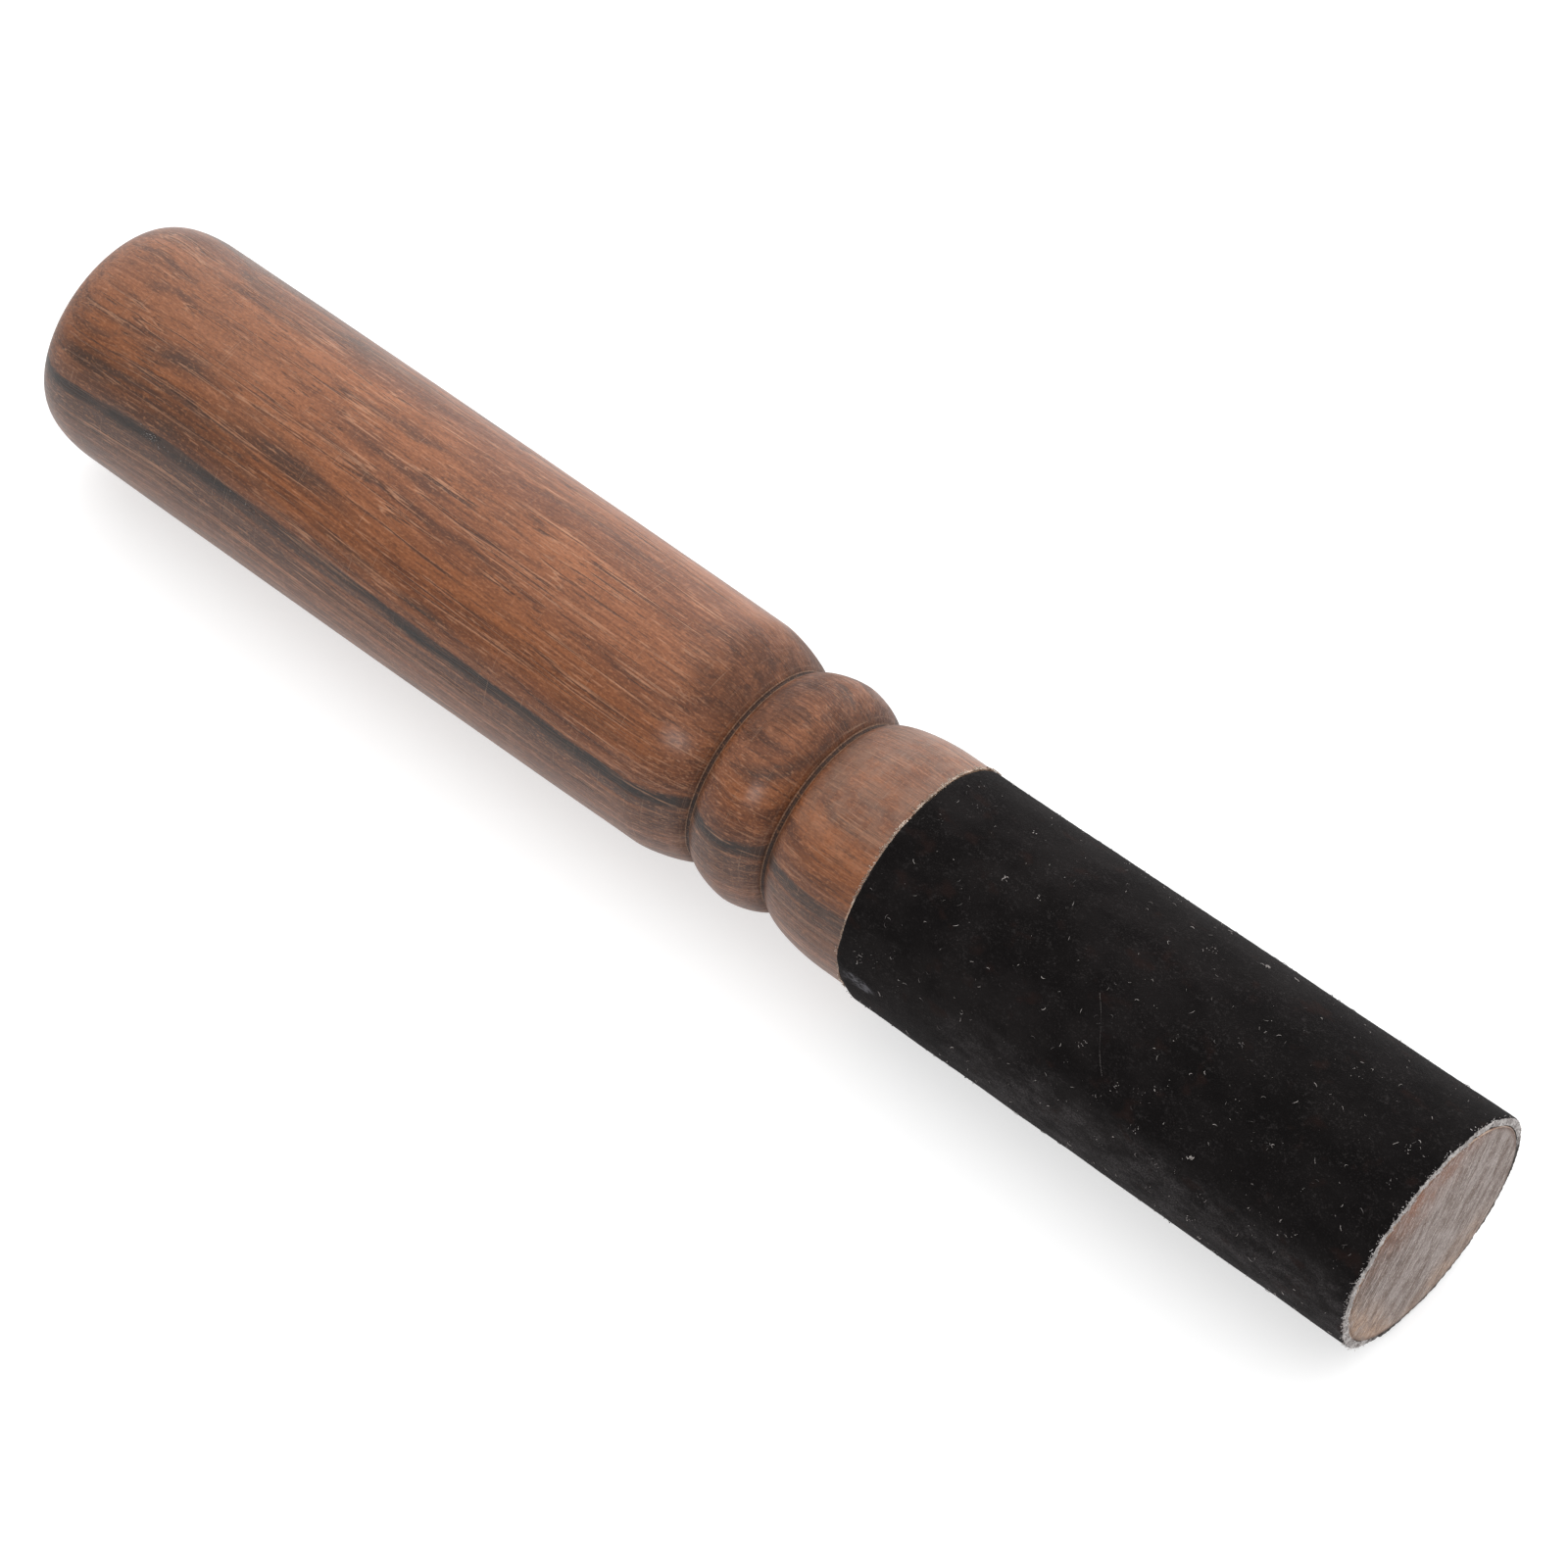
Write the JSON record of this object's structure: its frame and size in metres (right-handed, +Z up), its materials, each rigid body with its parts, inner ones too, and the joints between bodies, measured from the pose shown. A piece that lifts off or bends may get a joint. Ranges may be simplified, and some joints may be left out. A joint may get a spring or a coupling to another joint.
{
  "type": "singing bowl mallet",
  "caption": "Turned hardwood mallet with a straight grip, a bead between grooves and a black suede striking end.",
  "frame": {"origin": "on the plane the mallet lies on, under the middle of its length", "axes": "+X along the mallet towards the suede-wrapped striking end, +Z up"},
  "size_m": [0.195, 0.0302, 0.0302],
  "materials": {
    "oiled_hardwood": "reddish-brown streaked hardwood, turned, sanded and waxed to a satin",
    "dried_glue": "dried contact adhesive, dark amber-brown",
    "black_suede": "black suede, nap side out, with a pale cut edge"
  },
  "bodies": {
    "root": {"turned_body": "oiled_hardwood", "glue_film": "dried_glue", "suede_wrap": "black_suede"}
  },
  "joints": []
}
